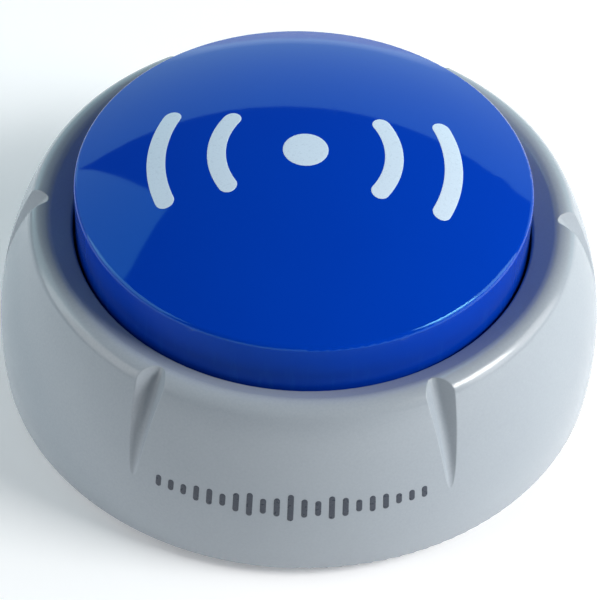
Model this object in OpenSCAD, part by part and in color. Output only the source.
// Tabletop buzzer: a large dome button that drops into a round housing, presses a rubber
// dome switch and is pushed back up by one coil spring. Two wire levellers keep the dome
// level wherever it is struck. Origin: centre of the footprint, on the table. Front is -Y.

/* [Housing] */
// Diameter of the housing at its widest
base_d = 91; // [89:1:94]
// Height of that widest place above the lower edge
bulge_h = 6; // [5:0.1:7]
// Radius of the wall's bulge, seen from the side
wall_round = 48; // [46:0.5:51]
// Radius of the rim's rounding
rim_round = 2.5; // [2.1:0.1:2.8]
// Height of the well's mouth above the lower edge
lip_h = 26.2; // [26:0.1:26.6]
// Fall of the funnel towards the well, as a share of its run
funnel_slope = 0.6; // [0.56:0.01:0.64]
// Wall thickness of the mouldings
wall_t = 2.2; // [2:0.1:2.4]

/* [Grooves] */
// Number of tapering grooves that notch the rim
groove_count = 6; // [6:6:6]
// Depth of a groove's bottom line at the rim, measured level
groove_depth = 2.6; // [2.2:0.1:2.9]
// Height of a groove's lower point above the lower edge
groove_tip_h = 8.6; // [8:0.2:14]
// Radius along the bottom of a groove
groove_round = 1.1; // [0.6:0.1:1.3]

/* [Button] */
// Diameter of the dome where it turns down into its skirt
button_d = 67; // [66.6:0.1:67.2]
// Rise of the dome above that edge
dome_rise = 7.6; // [6:0.2:9]
// Height of that edge above the housing's lower edge
button_edge_h = 34.3; // [33.8:0.1:35.5]
// Travel of the button
travel = 3.5; // [2.5:0.1:3.5]

/* [Feet] */
// How far the feet stand below the housing
foot_h = 1.5; // [1:0.1:2]
// Diameter of a foot
foot_d = 8.4; // [7:0.1:8.6]

/* [Power] */
// Diameter of a cell
cell_d = 10.5; // [10:0.1:10.5]
// Length of a cell with its nub
cell_l = 44.5; // [43.5:0.1:44.5]

/* [Speaker] */
// Outer diameter of the speaker's flange
speaker_d = 32; // [30:1:32]
// Diameter of one sound hole
sound_hole_d = 1.8; // [1.2:0.2:2]

/* [Hidden] */
$fn = 64;

silver = [0.72, 0.75, 0.78];
blue = [0.0, 0.21, 0.67];
white = [0.9, 0.9, 0.88];
steel = [0.7, 0.71, 0.73];
black = [0.08, 0.08, 0.09];
green = [0.05, 0.32, 0.16];

eps = 0.01;
gap = 0.1;          // between pieces that only lie side by side

// Heights in the part's frame, from the table up
edge_z = foot_h;                        // lower edge of the housing
base_r = base_d / 2;
lip_r = button_d / 2 + 0.5;             // mouth of the well
collar_t = 1.6;
floor_t = 2;                            // bottom cover plate
floor_z = edge_z + floor_t;
deck_t = 1.8;
deck_top = edge_z + 20.9;
deck_z = deck_top - deck_t;
deck_r = 36;

// Screw places
screw_at = [32, 18.5];                  // housing screws, and the feet over them
screw_corners = [for (sx = [-1, 1], sy = [-1, 1]) [sx * screw_at[0], sy * screw_at[1]]];
cup_top = edge_z + 4.8;                 // the cover's screw cups, where the housing's posts land
deck_screw_r = 37.5;
deck_screw_angles = [76, 104, 256, 284];

// Button and carrier
skirt_r = button_d / 2 + 0.1;
cap_t = 2;
edge_round = 0.8;                       // rounding between dome and skirt
button_edge_z = edge_z + button_edge_h;
skirt_z = deck_top + travel + 0.3;
dome_r = (pow(button_d / 2, 2) + pow(dome_rise, 2)) / (2 * dome_rise);
dome_centre_z = button_edge_z + dome_rise - dome_r;
carrier_z = edge_z + 30;
carrier_t = 1.8;
cap_screw_xy = 17;
leg_r = 29.4;                           // inner face of a carrier leg
leg_t = 1.6;
leg_w = 6;
pusher_r = 4;
spring_r = 9.5;                         // mean radius of the return spring
spring_wire_r = 0.45;

// Rubber dome switch and board
board_t = 1.4;
board_top = edge_z + 17.1;
board_z = board_top - board_t;
board_x = 18.5;
board_y = [-14.5, 11];
board_screw_x = 15.5;
board_screw_y = [-11.5, 8];
rubber_h = 5.5;
pusher_z = board_top + rubber_h + 0.1;

// Wire levellers
wire_r = 0.6;
leveller_y = 17;                        // distance of a pivot from the centre
leveller_z = deck_top + 0.9;
arm_run = 30;                           // level distance from pivot to pin
pin_z = edge_z + 27.1;                  // height of the pins with the button up
arm_l = sqrt(pow(arm_run, 2) + pow(pin_z - leveller_z, 2));
arm_tilt = atan((pin_z - leveller_z) / arm_run);
bend_r = 1.6;
rear_span = 16;                         // half width of the rear leveller
front_span = 20;

// Battery bay
bay_x = 25;
bay_y = [3.8, 25.6];
bay_wall = 1.2;
bay_top = edge_z + 12.6;                // underside of its ceiling
cell_z = edge_z + 1.95 + cell_d / 2;
cell_y = [bay_y[0] + 0.2 + cell_d / 2, bay_y[1] - 0.2 - cell_d / 2];
contact_t = 0.4;
door_t = 1.6;
door_gap = 0.3;
door_y = [bay_y[0] - 0.6, bay_y[1] + 0.8];
door_x = bay_x + 0.6;
tongue_w = 9;
tongue_y = -3.6;
door_screw_y = -0.3;

// Speaker, facing down at the cover
speaker_y = -19.5;
speaker_r = speaker_d / 2;
gasket_t = 0.6;
flange_top = floor_z + gasket_t + 0.8;
back_plate_z = flange_top + 4.7;
speaker_screw_r = speaker_r + 1.9;
speaker_screw_angles = [30, 150, 270];

// ---------- helpers ----------

function unit(v) = v / norm(v);
function arc(c, r, a0, a1, n) = [for (i = [0:n]) let (a = a0 + (a1 - a0) * i / n) c + r * [cos(a), sin(a)]];
function curve3(a, b, c, n) = [for (i = [0:n]) let (t = i / n)
    pow(1 - t, 2) * a + 2 * t * (1 - t) * b + t * t * c];
function curve4(a, b, c, d, n) = [for (i = [0:n]) let (t = i / n)
    pow(1 - t, 3) * a + 3 * t * pow(1 - t, 2) * b + 3 * t * t * (1 - t) * c + t * t * t * d];
function helix(r0, r1, z0, z1, turns, per_turn) = let (n = ceil(turns * per_turn))
    [for (i = [0:n]) let (t = i / n, a = 360 * turns * t, r = r0 + (r1 - r0) * t)
        [r * cos(a), r * sin(a), z0 + (z1 - z0) * t]];

// A round tube along a path. ref is any direction that the path never runs along.
module tube(path, r, ref, sides = 8) {
    m = len(path);
    dirs = [for (i = [0:m - 1]) unit(path[min(i + 1, m - 1)] - path[max(i - 1, 0)])];
    rings = [for (i = [0:m - 1]) let (s = unit(cross(dirs[i], ref)), u = cross(s, dirs[i]))
        for (k = [0:sides - 1]) path[i] + r * (cos(360 * k / sides) * s + sin(360 * k / sides) * u)];
    walls = [for (i = [0:m - 2], k = [0:sides - 1]) let (a = i * sides + k, b = i * sides + (k + 1) % sides)
        each [[a, b, a + sides], [b, b + sides, a + sides]]];
    first = [for (k = [sides - 1:-1:0]) k];
    last = [for (k = [0:sides - 1]) (m - 1) * sides + k];
    polyhedron(rings, concat(walls, [first, last]));
}

// A pan-head screw standing on its head's seat at z = 0, shank up.
module screw(head_r, head_h, shank_r, length) {
    difference() {
        union() {
            rotate_extrude() polygon(concat([[0, 0]], [[head_r, 0], [head_r, -head_h * 0.45]],
                curve3([head_r, -head_h * 0.45], [head_r * 0.95, -head_h], [head_r * 0.45, -head_h], 5),
                [[0, -head_h]]));
            translate([0, 0, -eps]) cylinder(r = shank_r, h = length + eps);
        }
        for (a = [0, 90])
            rotate(a) translate([-head_r * 0.6, -head_r * 0.13, -head_h - eps])
                cube([head_r * 1.2, head_r * 0.26, head_h * 0.6]);
    }
}

module at_corners() {
    for (p = screw_corners) translate([p[0], p[1], 0]) children();
}

// ---------- housing ----------

// The wall is one arc. The funnel falls from the rim to the well in a straight line.
wall_c = [base_r - wall_round, bulge_h];
function wall_at(h) = wall_c[0] + sqrt(pow(wall_round, 2) - pow(h - bulge_h, 2));
function funnel_at(r) = lip_h + funnel_slope * (r - lip_r);

// Centre of a circle of radius r that touches the wall from inside, and a line below it.
// The line runs along the unit vector d, and n is its normal on the side to leave.
function touching(p, d, n, r) =
    let (q = p - r * n, v = q - wall_c, b = v * d)
    q + (sqrt(b * b - v * v + pow(wall_round - r, 2)) - b) * d;
function on_wall(c) = wall_c + unit(c - wall_c) * wall_round;

foot_round = 0.8;
lip_round = 0.8;
funnel_d = unit([1, funnel_slope]);
funnel_n = unit([-funnel_slope, 1]);
rim_c = touching([lip_r, lip_h], funnel_d, funnel_n, rim_round);
foot_c = touching([lip_r, 0], [1, 0], [0, -1], foot_round);
lip_c = [lip_r + lip_round, funnel_at(lip_r + lip_round) - lip_round / funnel_n[1]];
funnel_t = wall_t * 1.2;                // level thickness of the funnel, measured upright
cavity_r = 37.6;                        // where the funnel's underside stops

// Cuts a corner back to the circle about c that touches its sides at a and b.
module rounded(c, a, b) {
    beyond = unit((a + b) / 2 - c) * 2.2 * norm(a - c) / cos(acos(unit(a - c) * unit(b - c)) / 2);
    difference() {
        children();
        polygon([c, a, c + beyond, b]);
    }
    translate(c) circle(norm(a - c));
}

module wall_disc(inset) {
    translate(wall_c) circle(wall_round - inset, $fn = 256);
}

module outer_section() {
    rounded(lip_c, [lip_r, lip_c[1]], lip_c + lip_round * funnel_n)
        rounded(rim_c, rim_c + rim_round * funnel_n, on_wall(rim_c))
            rounded(foot_c, foot_c - [0, foot_round], on_wall(foot_c))
                intersection() {
                    wall_disc(0);
                    polygon([[lip_r, 0], [60, 0], [60, funnel_at(60)], [lip_r, lip_h]]);
                }
}

module cavity_section() {
    collar_r = lip_r + collar_t;
    intersection() {
        wall_disc(wall_t);
        polygon([[lip_r - 1, -1], [60, -1], [60, funnel_at(cavity_r) - funnel_t - 3],
            [cavity_r, funnel_at(cavity_r) - funnel_t], [collar_r, funnel_at(collar_r) - funnel_t],
            [collar_r, deck_top - edge_z], [lip_r - 1, deck_top - edge_z]]);
    }
}

// A groove's bottom line is an arc with the wall's own radius. It leaves the wall at the groove's
// lower point and is groove_depth inside it at the rim, so the groove widens evenly on the way up.
// The sweep starts outside the wall below the lower point and ends in the air above the rim.
groove_top_h = 26.6;
groove_low = [wall_at(groove_tip_h), groove_tip_h];
groove_high = [wall_at(groove_top_h) - groove_depth, groove_top_h];
groove_dir = unit(groove_high - groove_low);
groove_c = (groove_low + groove_high) / 2
    - sqrt(pow(wall_round, 2) - pow(norm(groove_high - groove_low) / 2, 2)) * [groove_dir[1], -groove_dir[0]];

// Section of a groove: a right-angled V with a rounded bottom, grown by grow on every side.
module groove_section(grow) {
    r = groove_round + grow;
    c = groove_round * sqrt(2);
    touch = r / sqrt(2);
    flank = 7;
    polygon([[c, 0], [c - touch, touch], [c - touch + flank, touch + flank],
        [c - touch + flank, -touch - flank], [c - touch, -touch]]);
    translate([c, 0]) circle(r, $fn = 32);
}

module grooves(grow) {
    for (i = [0:groove_count - 1])
        rotate(i * 360 / groove_count)
            translate([groove_c[0], 0, edge_z + groove_c[1]])
                rotate([90, 0, 0]) rotate(4)
                    rotate_extrude(angle = 42, $fn = 160) translate([wall_round, 0]) groove_section(grow);
}

// What the backing of a groove may fill: a band against the inner wall.
module backing_section() {
    inner = lip_r + collar_t + 1;
    intersection() {
        wall_disc(wall_t - 0.3);
        polygon([[inner, 8], [60, 8], [60, funnel_at(cavity_r) - funnel_t + 0.3],
            [cavity_r, funnel_at(cavity_r) - funnel_t + 0.3], [inner, funnel_at(inner) - funnel_t + 0.3]]);
    }
}

module upper_housing() {
    color(silver) difference() {
        union() {
            translate([0, 0, edge_z]) difference() {
                rotate_extrude() outer_section();
                rotate_extrude() cavity_section();
            }
            intersection() {
                translate([0, 0, edge_z]) rotate_extrude() backing_section();
                grooves(1.6);
            }
            // posts for the housing screws, trimmed by the well
            difference() {
                at_corners() translate([0, 0, cup_top]) cylinder(r = 3.2, h = edge_z + lip_h - 0.3 - cup_top);
                translate([0, 0, deck_z - gap]) cylinder(r = lip_r + 0.4, h = 20);
            }
            // posts for the deck screws
            for (a = deck_screw_angles) rotate(a)
                translate([deck_screw_r, 0, deck_top]) cylinder(r = 2.4, h = edge_z + lip_h - 0.6 - deck_top);
        }
        grooves(0);
        at_corners() translate([0, 0, cup_top - 1]) cylinder(r = 1.2, h = 13);
        for (a = deck_screw_angles) rotate(a)
            translate([deck_screw_r, 0, deck_top - 1]) cylinder(r = 1, h = 5.2);
    }
}

// ---------- button ----------

function dome_at(r, inset) = dome_centre_z + sqrt(pow(dome_r - inset, 2) - r * r);

module dome_disc(inset) {
    translate([0, dome_centre_z]) circle(dome_r - inset, $fn = 360);
}

module cap_section() {
    // The circle that rounds the edge touches the dome from inside, and the skirt.
    edge_a = acos((skirt_r - edge_round) / (dome_r - edge_round));
    edge_c = [skirt_r - edge_round, dome_centre_z + (dome_r - edge_round) * sin(edge_a)];
    rounded(edge_c, edge_c + edge_round * [cos(edge_a), sin(edge_a)], edge_c + [edge_round, 0])
        intersection() {
            dome_disc(0);
            polygon([[0, skirt_z], [skirt_r - 0.4, skirt_z], [skirt_r, skirt_z + 0.4], [skirt_r, 99], [0, 99]]);
        }
}

module button_cap() {
    inner_r = skirt_r - cap_t;
    color(blue) union() {
        difference() {
            rotate_extrude($fn = 96) cap_section();
            rotate_extrude($fn = 96) intersection() {
                dome_disc(cap_t);
                translate([0, skirt_z - 1]) square([inner_r, 60]);
            }
        }
        // posts for the carrier's screws, grown into the dome
        for (a = [45:90:315]) rotate(a) translate([cap_screw_xy * sqrt(2), 0, carrier_z + carrier_t])
            difference() {
                cylinder(r = 2.6, h = dome_at(cap_screw_xy * sqrt(2), cap_t) + 0.6 - carrier_z - carrier_t);
                translate([0, 0, -eps]) cylinder(r = 1, h = 4.6);
            }
        // ribs that brace the skirt
        for (a = [22.5:45:360]) rotate(a)
            translate([inner_r - 1.2, -0.5, carrier_z + carrier_t + 0.4])
                cube([1.6, 1, dome_at(inner_r, cap_t) - carrier_z - carrier_t]);
    }
}

// One hooked leg, seen from the side and extruded to its width.
module carrier_leg() {
    hook = 1.4;
    hook_top = deck_z - gap;
    translate([0, leg_w / 2, 0]) rotate([90, 0, 0]) linear_extrude(leg_w)
        polygon([[leg_r, carrier_z + eps], [leg_r, hook_top - 2.2], [leg_r + 1, hook_top - 2.2],
            [leg_r + leg_t + hook, hook_top - 0.6], [leg_r + leg_t + hook, hook_top],
            [leg_r + leg_t, hook_top], [leg_r + leg_t, carrier_z + eps]]);
}

// A hanging lug whose slot lets a leveller's pin slide level but not up or down.
module slot_lug(x, pin_y, drift) {
    lug_t = 1.6;
    low = pin_z - 1.9;
    slot = [pin_y + min(0, drift) - wire_r - 0.15, pin_y + max(0, drift) + wire_r + 0.15];
    difference() {
        translate([x - lug_t / 2, slot[0] - 1.1, low]) cube([lug_t, slot[1] - slot[0] + 2.2, carrier_z + eps - low]);
        translate([x - lug_t, slot[0], pin_z - wire_r - 0.12])
            cube([2 * lug_t, slot[1] - slot[0], 2 * wire_r + 0.24]);
    }
}

module cap_carrier() {
    ring_in = 23.5;
    ring_out = 31;
    drift = 0.45;
    color(white) difference() {
        union() {
            translate([0, 0, carrier_z]) difference() {
                cylinder(r = ring_out, h = carrier_t);
                translate([0, 0, -eps]) cylinder(r = ring_in, h = carrier_t + 2 * eps);
            }
            translate([0, 0, carrier_z]) cylinder(r = 12, h = carrier_t);
            for (a = [45, 135]) rotate(a)
                translate([-ring_in - 1, -3.6, carrier_z]) cube([2 * ring_in + 2, 7.2, carrier_t]);
            // stiffening rim above the ring
            translate([0, 0, carrier_z + carrier_t - eps]) difference() {
                cylinder(r = ring_in + 1.2, h = 1.5);
                translate([0, 0, -eps]) cylinder(r = ring_in, h = 2);
            }
            translate([0, 0, carrier_z - 1.5]) cylinder(r = spring_r - spring_wire_r - 0.5, h = 1.5 + eps);
            translate([0, 0, pusher_z]) cylinder(r = pusher_r, h = carrier_z - pusher_z);
            for (a = [0:90:270]) rotate(a) carrier_leg();
            for (s = [-1, 1]) {
                slot_lug(s * (rear_span - bend_r - 0.8), leveller_y - arm_run, -drift);
                slot_lug(s * (front_span + bend_r + 0.8), arm_run - leveller_y, drift);
            }
        }
        for (a = [45:90:315]) rotate(a)
            translate([cap_screw_xy * sqrt(2), 0, carrier_z - eps]) {
                cylinder(r = 1.3, h = carrier_t + 2);
                translate([0, 0, carrier_t + eps]) cylinder(r = 2.8, h = 2);
            }
        translate([0, 0, carrier_z - 0.5]) cylinder(r = pusher_r - 1.4, h = 4);
    }
}

module cap_screws() {
    color(steel) for (a = [45:90:315]) rotate(a)
        translate([cap_screw_xy * sqrt(2), 0, carrier_z]) screw(2.1, 1.3, 0.95, 5.2);
}

// ---------- deck, spring and levellers ----------

// A snap saddle for a leveller's pivot, open at the top.
module pivot_clip(x, y) {
    translate([x, y, deck_top - eps]) difference() {
        translate([-1.5, -1.7, 0]) cube([3, 3.4, 2]);
        translate([-2, 0, leveller_z - deck_top]) rotate([0, 90, 0]) cylinder(r = wire_r + 0.06, h = 4);
        translate([-2, -wire_r * 0.75, leveller_z - deck_top]) cube([4, wire_r * 1.5, 3]);
    }
}

module mechanism_deck() {
    color(black) difference() {
        union() {
            translate([0, 0, deck_z]) cylinder(r = deck_r, h = deck_t);
            for (a = deck_screw_angles) rotate(a)
                translate([deck_screw_r, 0, deck_z]) cylinder(r = 2.9, h = deck_t);
            // collar that centres the spring
            translate([0, 0, deck_top - eps]) cylinder(r = 8.6, h = 2);
            for (s = [-1, 1]) {
                pivot_clip(s * 10, leveller_y);
                pivot_clip(s * 13, -leveller_y);
            }
            // ribs and board posts below
            for (a = [45, 135]) rotate(a) translate([-33, -0.6, deck_z - 1.2]) cube([66, 1.2, 1.2 + eps]);
            translate([0, 0, deck_z - 1.2]) difference() {
                cylinder(r = 34, h = 1.2 + eps);
                translate([0, 0, -eps]) cylinder(r = 32.8, h = 2);
            }
            for (x = [-board_screw_x, board_screw_x], y = board_screw_y)
                translate([x, y, board_top]) cylinder(r = 2.3, h = deck_z - board_top + eps);
        }
        translate([0, 0, deck_z - 2]) cylinder(r = 7.2, h = 8);
        // windows for the carrier's legs
        for (a = [0:90:270]) rotate(a)
            translate([leg_r - 1.2, -leg_w / 2 - 0.4, deck_z - 2]) cube([leg_t + 1.5, leg_w + 0.8, deck_t + 3]);
        // room for the hooks, which draw up against the deck itself
        for (a = [0:90:270]) rotate(a)
            translate([leg_r, -leg_w / 2 - 0.4, deck_z - 2]) cube([6, leg_w + 0.8, 2]);
        // bites round the housing's posts
        at_corners() translate([0, 0, deck_z - 2]) cylinder(r = 3.5, h = deck_t + 3);
        for (a = deck_screw_angles) rotate(a)
            translate([deck_screw_r, 0, deck_z - eps]) cylinder(r = 1.3, h = deck_t + 1);
        for (x = [-board_screw_x, board_screw_x], y = board_screw_y)
            translate([x, y, board_top - eps]) cylinder(r = 1, h = 2.6);
    }
}

module deck_screws() {
    color(steel) for (a = deck_screw_angles) rotate(a)
        translate([deck_screw_r, 0, deck_z]) screw(2.1, 1.3, 0.95, 5.4);
}

// Squared ends lie flat, and the turns between rise evenly.
module return_spring() {
    low = deck_top + spring_wire_r + 0.02;
    high = carrier_z - spring_wire_r - 0.02;
    pitch_wire = 2 * spring_wire_r + 0.03;
    turns = 4.5;
    per_turn = 20;
    steps = turns * per_turn;
    // 0 at the lower end, 1 at the upper, flat over the first and last turn
    function rise(t) = let (u = (t * turns - 1) / (turns - 2))
        t * turns < 1 ? 0 : t * turns > turns - 1 ? 1 : u;
    function height(t) = low + pitch_wire * min(1, t * turns) + (high - low - 2 * pitch_wire) * rise(t)
        + pitch_wire * max(0, t * turns - (turns - 1));
    color(steel) tube([for (i = [0:steps]) let (t = i / steps, a = 360 * turns * t)
        [spring_r * cos(a), spring_r * sin(a), height(t)]], spring_wire_r, [0, 0, 1], 8);
}

// Pivot bar along X, two arms to -Y, and pins turned inward (-1) or outward (1).
module leveller(span, pin_side) {
    pin_l = 2.6;
    straight = arm_l - 2 * bend_r;
    rotate([0, 90, 0]) cylinder(r = wire_r, h = 2 * (span - bend_r), center = true);
    for (s = [0, 1]) mirror([s, 0, 0]) {
        translate([span - bend_r, -bend_r, 0]) rotate_extrude(angle = 90) translate([bend_r, 0]) circle(wire_r);
        translate([span, -bend_r, 0]) rotate([90, 0, 0]) cylinder(r = wire_r, h = straight);
        translate([span + pin_side * bend_r, -arm_l + bend_r, 0])
            rotate(pin_side > 0 ? 180 : 270) rotate_extrude(angle = 90) translate([bend_r, 0]) circle(wire_r);
        translate([span + pin_side * bend_r, -arm_l, 0]) rotate([0, 90 * pin_side, 0]) cylinder(r = wire_r, h = pin_l);
    }
}

module rear_leveller_wire() {
    color(steel) translate([0, leveller_y, leveller_z]) rotate([-arm_tilt, 0, 0]) leveller(rear_span, -1);
}

module front_leveller_wire() {
    color(steel) rotate(180) translate([0, leveller_y, leveller_z]) rotate([-arm_tilt, 0, 0]) leveller(front_span, 1);
}

// ---------- switch and board ----------

module rubber_dome() {
    color([0.75, 0.77, 0.78]) translate([0, 0, board_top]) rotate_extrude() polygon(concat(
        [[4.6, 0], [6.6, 0], [6.6, 0.7], [5.4, 0.7]],
        curve3([5.4, 0.7], [4.6, 3.4], [3.6, rubber_h - 1.2], 6),
        [[3.6, rubber_h - 0.3], [3.3, rubber_h], [0, rubber_h], [0, rubber_h - 1.05], [2.4, rubber_h - 1.05]],
        curve3([2.6, rubber_h - 1.3], [3.8, 3], [4.6, 0], 6)));
}

module carbon_pill() {
    color(black) translate([0, 0, board_top + rubber_h - 1.1 - 0.8]) cylinder(r = 1.9, h = 0.8);
}

module circuit_board() {
    color(green) difference() {
        translate([-board_x, board_y[0], board_z]) cube([2 * board_x, board_y[1] - board_y[0], board_t]);
        for (x = [-board_screw_x, board_screw_x], y = board_screw_y)
            translate([x, y, board_z - eps]) cylinder(r = 1.25, h = board_t + 1);
        // clipped corner that keys the board
        translate([board_x, board_y[0], board_z - eps]) rotate(45)
            translate([-2, -2, 0]) cube([4, 4, board_t + 1]);
    }
}

module contact_pads() {
    color([0.15, 0.15, 0.16]) translate([0, 0, board_top]) for (a = [0, 180]) rotate(a)
        difference() {
            cylinder(r = 3, h = 0.08);
            translate([-4, -8 + 0.25, -eps]) cube([8, 8, 1]);
        }
}

module sound_chip() {
    color(black) translate([-11.5, -2, board_top]) rotate_extrude()
        polygon(concat([[0, 0]], curve3([4.4, 0], [3.6, 1.3], [0, 1.35], 8)));
}

module filter_capacitor() {
    color([0.12, 0.16, 0.3]) translate([-14, 0.8, board_z - 2.6]) rotate([90, 0, 0]) {
        cylinder(r = 2.5, h = 7);
        for (x = [-1, 1]) translate([x, 0, -1.2]) {
            cylinder(r = 0.25, h = 1.2);
            translate([0, 2.6, 0]) rotate([90, 0, 0]) cylinder(r = 0.25, h = 2.6);
        }
    }
}

module chip_resistors() {
    color(black) for (i = [0:4])
        translate([i < 3 ? 9.5 : 13, -7 + 3 * (i % 3), board_top]) cube([2, 1.25, 0.55]);
}

module board_screws() {
    color(steel) for (x = [-board_screw_x, board_screw_x], y = board_screw_y)
        translate([x, y, board_z]) screw(2, 1.1, 0.95, 3.6);
}

// ---------- bottom ----------

module sound_holes() {
    translate([0, speaker_y, edge_z - eps]) {
        cylinder(d = sound_hole_d, h = floor_t + 1);
        for (ring = [1:3], i = [0:6 * ring - 1]) rotate(i * 60 / ring)
            translate([ring * 4, 0, 0]) cylinder(d = sound_hole_d, h = floor_t + 1);
    }
}

// Outline of the door, or of the hole it fills when grown by the door gap.
module door_outline(grow) {
    translate([-door_x - grow, door_y[0] - grow])
        square([2 * (door_x + grow), door_y[1] - door_y[0] + 2 * grow]);
    translate([-tongue_w / 2 - grow, tongue_y - grow])
        square([tongue_w + 2 * grow, door_y[0] - tongue_y + 2 * grow]);
}

tab_x = 15;
tab_w = 6;

module bottom_cover() {
    cover_r = wall_c[0] + sqrt(pow(wall_round - wall_t, 2) - pow(bulge_h, 2)) - 0.2;
    wall_low = edge_z + door_t + gap;
    bay_out = [bay_x + bay_wall, bay_y[0] - bay_wall, bay_y[1] + bay_wall];
    color(silver) difference() {
        union() {
            difference() {
                translate([0, 0, edge_z]) cylinder(r = cover_r, h = floor_t);
                translate([-bay_x, bay_y[0], edge_z - 1]) cube([2 * bay_x, bay_y[1] - bay_y[0], floor_t + 2]);
            }
            // cups for the feet and the housing screws
            at_corners() translate([0, 0, edge_z]) cylinder(r = 5, h = cup_top - edge_z);
            // battery bay, open below
            difference() {
                translate([-bay_out[0], bay_out[1], wall_low])
                    cube([2 * bay_out[0], bay_out[2] - bay_out[1], bay_top + bay_wall - wall_low]);
                translate([-bay_x, bay_y[0], wall_low - 1])
                    cube([2 * bay_x, bay_y[1] - bay_y[0], bay_top - wall_low + 1]);
            }
            // boss for the door's screw, standing against the bay
            translate([0, door_screw_y, wall_low]) cylinder(r = 2.8, h = 5);
            // speaker seat and its screw bosses
            translate([0, speaker_y, floor_z - 1]) {
                cylinder(r = speaker_r + 1.3, h = flange_top - floor_z + 1);
                for (a = speaker_screw_angles) rotate(a) translate([speaker_screw_r, 0, 0])
                    cylinder(r = 2.2, h = flange_top - floor_z + 1);
            }
        }
        translate([0, speaker_y, floor_z]) cylinder(r = speaker_r + 0.25, h = 9);
        translate([0, 0, edge_z - 1]) linear_extrude(door_t + gap + 1) door_outline(door_gap);
        at_corners() {
            translate([0, 0, edge_z - 1]) cylinder(d = foot_d + 0.2, h = 1.8);
            translate([0, 0, edge_z - 1]) cylinder(r = 2.7, h = 4);
            translate([0, 0, edge_z - 1]) cylinder(r = 1.6, h = 8);
        }
        // windows for the door's tabs
        for (s = [-1, 1]) translate([s * tab_x - tab_w / 2 - 0.4, bay_y[1] - 1, edge_z + door_t])
            cube([tab_w + 0.8, bay_wall + 1.2, 3.8]);
        // slots for the contacts' solder tags
        for (y = cell_y) translate([bay_x - 0.9, y - 1.6, bay_top - 1]) cube([0.9, 3.2, 4]);
        // the door screw's hole, and the speaker screws' holes
        translate([0, door_screw_y, edge_z - 1]) cylinder(r = 1.3, h = 9);
        translate([0, speaker_y, 0]) for (a = speaker_screw_angles) rotate(a)
            translate([speaker_screw_r, 0, edge_z + 0.6]) cylinder(r = 1, h = 5);
        sound_holes();
    }
}

module housing_screws() {
    color(steel) at_corners() translate([0, 0, edge_z + 3]) screw(2.4, 1.5, 1.15, 11);
}

module rubber_feet() {
    color(black) at_corners() rotate_extrude() polygon(concat([[0, 0]],
        curve3([foot_d / 2 - 0.5, 0], [foot_d / 2, 0], [foot_d / 2, 0.6], 5),
        [[foot_d / 2, foot_h + 0.8], [0, foot_h + 0.8]]));
}

// ---------- speaker ----------

module speaker_gasket() {
    color(black) translate([0, speaker_y, floor_z]) difference() {
        cylinder(r = speaker_r, h = gasket_t);
        translate([0, 0, -eps]) cylinder(r = speaker_r - 1.6, h = gasket_t + 1);
    }
}

module speaker_frame() {
    low = floor_z + gasket_t;
    neck_r = 9.2;
    color(steel) translate([0, speaker_y, 0]) difference() {
        rotate_extrude() polygon([[speaker_r - 1.6, low], [speaker_r, low], [speaker_r, flange_top],
            [speaker_r - 0.9, flange_top], [neck_r + 0.8, back_plate_z + 0.2], [neck_r, back_plate_z + 0.8],
            [4.9, back_plate_z + 0.8], [4.9, back_plate_z], [neck_r - 0.4, back_plate_z],
            [speaker_r - 1.6, flange_top - 0.3]]);
        for (a = [0:60:300]) rotate(a) translate([neck_r + 1.4, -2, flange_top + 0.9]) cube([5, 4, 2.6]);
    }
}

module speaker_cone() {
    low = floor_z + gasket_t;
    color([0.1, 0.1, 0.1]) translate([0, speaker_y, 0]) rotate_extrude() polygon(concat(
        [[14.35, low], [14.35, low + 0.3]],
        arc([12.9, low + 0.3], 1, 0, 180, 8),
        [[4.7, back_plate_z - 1.2], [4.3, back_plate_z - 1.2]],
        curve3([4.3, back_plate_z - 1.5], [2.4, back_plate_z - 3], [0, back_plate_z - 3.1], 6),
        curve3([0, back_plate_z - 3.4], [2.6, back_plate_z - 3.3], [4.6, back_plate_z - 1.6], 6),
        [[11.9, low]],
        arc([12.9, low + 0.1], 0.7, 170, 10, 8)));
}

module voice_coil() {
    color([0.7, 0.35, 0.15]) translate([0, speaker_y, back_plate_z - 1.2]) difference() {
        cylinder(r = 4.7, h = 2.6);
        translate([0, 0, -eps]) cylinder(r = 4.3, h = 3);
    }
}

module speaker_magnet() {
    color([0.2, 0.2, 0.21]) translate([0, speaker_y, back_plate_z + 0.8]) difference() {
        cylinder(r = 8, h = 2.6);
        translate([0, 0, -eps]) cylinder(r = 4.9, h = 3);
    }
}

module magnet_yoke() {
    color(steel) translate([0, speaker_y, 0]) union() {
        translate([0, 0, back_plate_z + 3.4]) rotate_extrude()
            polygon(concat([[0, 0], [8.4, 0]], arc([8, 0.7], 0.4, 0, 90, 4), [[0, 1.1]]));
        translate([0, 0, back_plate_z + 0.2]) cylinder(r = 4.1, h = 3.2 + eps);
    }
}

tag_angle = 118;

module speaker_tag_board() {
    color([0.55, 0.4, 0.2]) translate([0, speaker_y, flange_top]) rotate(tag_angle)
        difference() {
            translate([speaker_r - 0.7, -3.5, 0]) cube([4, 7, 0.9]);
            for (y = [-1.8, 1.8]) translate([speaker_r + 2.2, y, -eps]) cylinder(r = 0.45, h = 2);
        }
}

module speaker_screws() {
    color(steel) translate([0, speaker_y, flange_top]) for (a = speaker_screw_angles) rotate(a)
        translate([speaker_screw_r, 0, 0]) mirror([0, 0, 1]) screw(2.6, 1.2, 0.95, 2.6);
}

// ---------- power ----------

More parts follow.
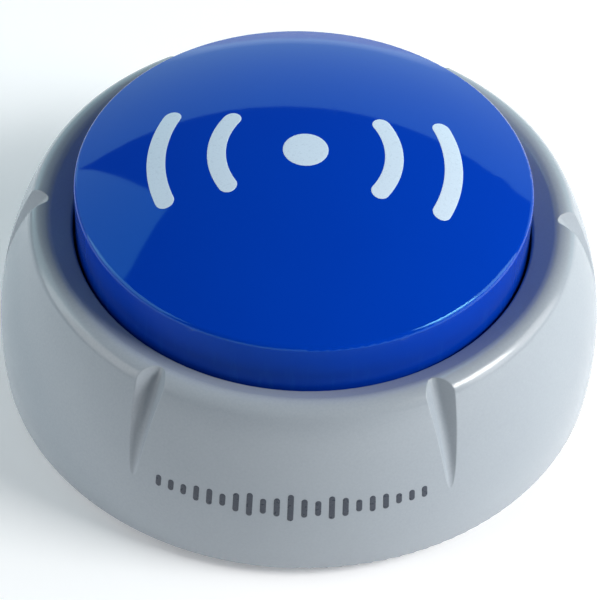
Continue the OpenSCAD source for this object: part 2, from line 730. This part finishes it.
// A cell along +X with its nub at the far end, from x = 0.
module cell() {
    r = cell_d / 2;
    nub = 0.9;
    rotate([0, 90, 0]) rotate_extrude() polygon(concat([[0, 0], [r - 0.8, 0]],
        curve3([r - 0.8, 0], [r, 0], [r, 0.5], 4),
        curve3([r, cell_l - nub - 0.7], [r, cell_l - nub], [r - 0.9, cell_l - nub], 4),
        [[1.9, cell_l - nub], [1.9, cell_l - 0.2], [1.7, cell_l], [0, cell_l]]));
}

cell_end = bay_x - contact_t - 0.1;     // where a nub touches its plate

module front_cell() {
    color([0.75, 0.6, 0.2]) translate([cell_end - cell_l, cell_y[0], cell_z]) cell();
}

module rear_cell() {
    color([0.75, 0.6, 0.2]) translate([cell_l - cell_end, cell_y[1], cell_z]) rotate(180) cell();
}

// Cone-shaped coils between a plate and a cell's flat end.
module battery_coils() {
    coil_l = 2 * cell_end - cell_l;
    color(steel) for (p = [[-1, cell_y[0]], [1, cell_y[1]]])
        translate([p[0] * cell_end, p[1], cell_z]) rotate([0, -90 * p[0], 0])
            tube(helix(3.6, 1.9, 0.35, coil_l - 0.35, 3, 14), 0.3, [0, 0, 1], 6);
}

module contact_plate(y, side, width) {
    translate([side > 0 ? bay_x - contact_t : -bay_x, y - width / 2, cell_z - 4.4])
        cube([contact_t, width, 8.8]);
}

module solder_tag(y) {
    translate([bay_x - contact_t, y - 1.2, cell_z + 4.4 - eps])
        cube([contact_t, 2.4, bay_top + bay_wall + 1.2 - cell_z - 4.4]);
}

module bridge_contact() {
    color(steel) contact_plate((cell_y[0] + cell_y[1]) / 2, -1, cell_y[1] - cell_y[0] + 8);
}

module positive_contact() {
    color(steel) union() {
        contact_plate(cell_y[0], 1, 8.4);
        solder_tag(cell_y[0]);
    }
}

module negative_contact() {
    color(steel) union() {
        contact_plate(cell_y[1], 1, 8.4);
        solder_tag(cell_y[1]);
    }
}

// Leads end on a contact's tag or the speaker's tag board, and in the board's underside.
lead_r = 0.5;
tag_z = bay_top + bay_wall + 0.6;
pad_z = board_z - 0.05;

module battery_leads() {
    tag_x = bay_x - contact_t - lead_r;
    color([0.75, 0.1, 0.08]) tube(curve4([tag_x, cell_y[0], tag_z], [tag_x - 2.6, cell_y[0] + 0.3, tag_z],
        [20, 1, tag_z], [16.8, -1, pad_z], 14), lead_r, [0.2, 0, 1]);
    color(black) tube(curve4([tag_x, cell_y[1], tag_z], [tag_x - 5, cell_y[1] - 1, tag_z + 0.1],
        [21.5, 7, tag_z], [16.8, 2.8, pad_z], 14), lead_r, [0.2, 0, 1]);
}

module speaker_leads() {
    tag = [for (side = [1.8, -1.8]) [0, speaker_y, flange_top + 0.85]
        + (speaker_r + 2.2) * [cos(tag_angle), sin(tag_angle), 0] + side * [-sin(tag_angle), cos(tag_angle), 0]];
    color([0.75, 0.1, 0.08]) tube(curve4(tag[0], tag[0] + [-1.9, 2.8, 4], [-9.5, -9, board_z - 5],
        [-9.8, -7, pad_z], 16), lead_r, [1, 0.3, 0]);
    color(black) tube(curve4(tag[1], tag[1] + [0.5, 2.6, 4], [-5.5, -7, board_z - 5],
        [-6.8, -6.5, pad_z], 16), lead_r, [1, 0.3, 0]);
}

hinge_y = door_y[1] - door_t / 2;       // line that the door turns on

module battery_door() {
    color(silver) difference() {
        union() {
            // the plate, whose rear edge is the round that it turns on
            translate([-door_x, 0, edge_z]) rotate([90, 0, 90]) linear_extrude(2 * door_x) {
                translate([door_y[0], 0]) square([hinge_y - door_y[0], door_t]);
                translate([hinge_y, door_t / 2]) circle(door_t / 2);
            }
            translate([-tongue_w / 2, tongue_y, edge_z]) cube([tongue_w, door_y[0] - tongue_y + 1, door_t]);
            // tabs that reach over the cover's floor
            for (s = [-1, 1]) translate([s * tab_x - tab_w / 2, 0, 0]) {
                translate([0, hinge_y - 1.6, edge_z + door_t - 0.8]) cube([tab_w, 1.6, 2.5]);
                translate([0, hinge_y - 1.6, floor_z + gap]) cube([tab_w, 4.6, 1.2]);
            }
        }
        translate([0, door_screw_y, edge_z - 1]) cylinder(r = 2.5, h = 1.95);
        translate([0, door_screw_y, edge_z]) cylinder(r = 1.15, h = door_t + 1);
        // finger grooves
        for (i = [0:3]) translate([-7, 7 + 2.2 * i, edge_z]) rotate([0, 90, 0]) cylinder(r = 0.5, h = 14);
    }
}

module door_screw() {
    color(steel) translate([0, door_screw_y, edge_z + 0.9]) screw(2.2, 0.8, 1, 3.2);
}

upper_housing();
button_cap();
cap_carrier();
cap_screws();
mechanism_deck();
deck_screws();
return_spring();
rear_leveller_wire();
front_leveller_wire();
rubber_dome();
carbon_pill();
circuit_board();
contact_pads();
sound_chip();
filter_capacitor();
chip_resistors();
board_screws();
bottom_cover();
housing_screws();
rubber_feet();
speaker_gasket();
speaker_frame();
speaker_cone();
voice_coil();
speaker_magnet();
magnet_yoke();
speaker_tag_board();
speaker_screws();
speaker_leads();
front_cell();
rear_cell();
battery_coils();
bridge_contact();
positive_contact();
negative_contact();
battery_leads();
battery_door();
door_screw();
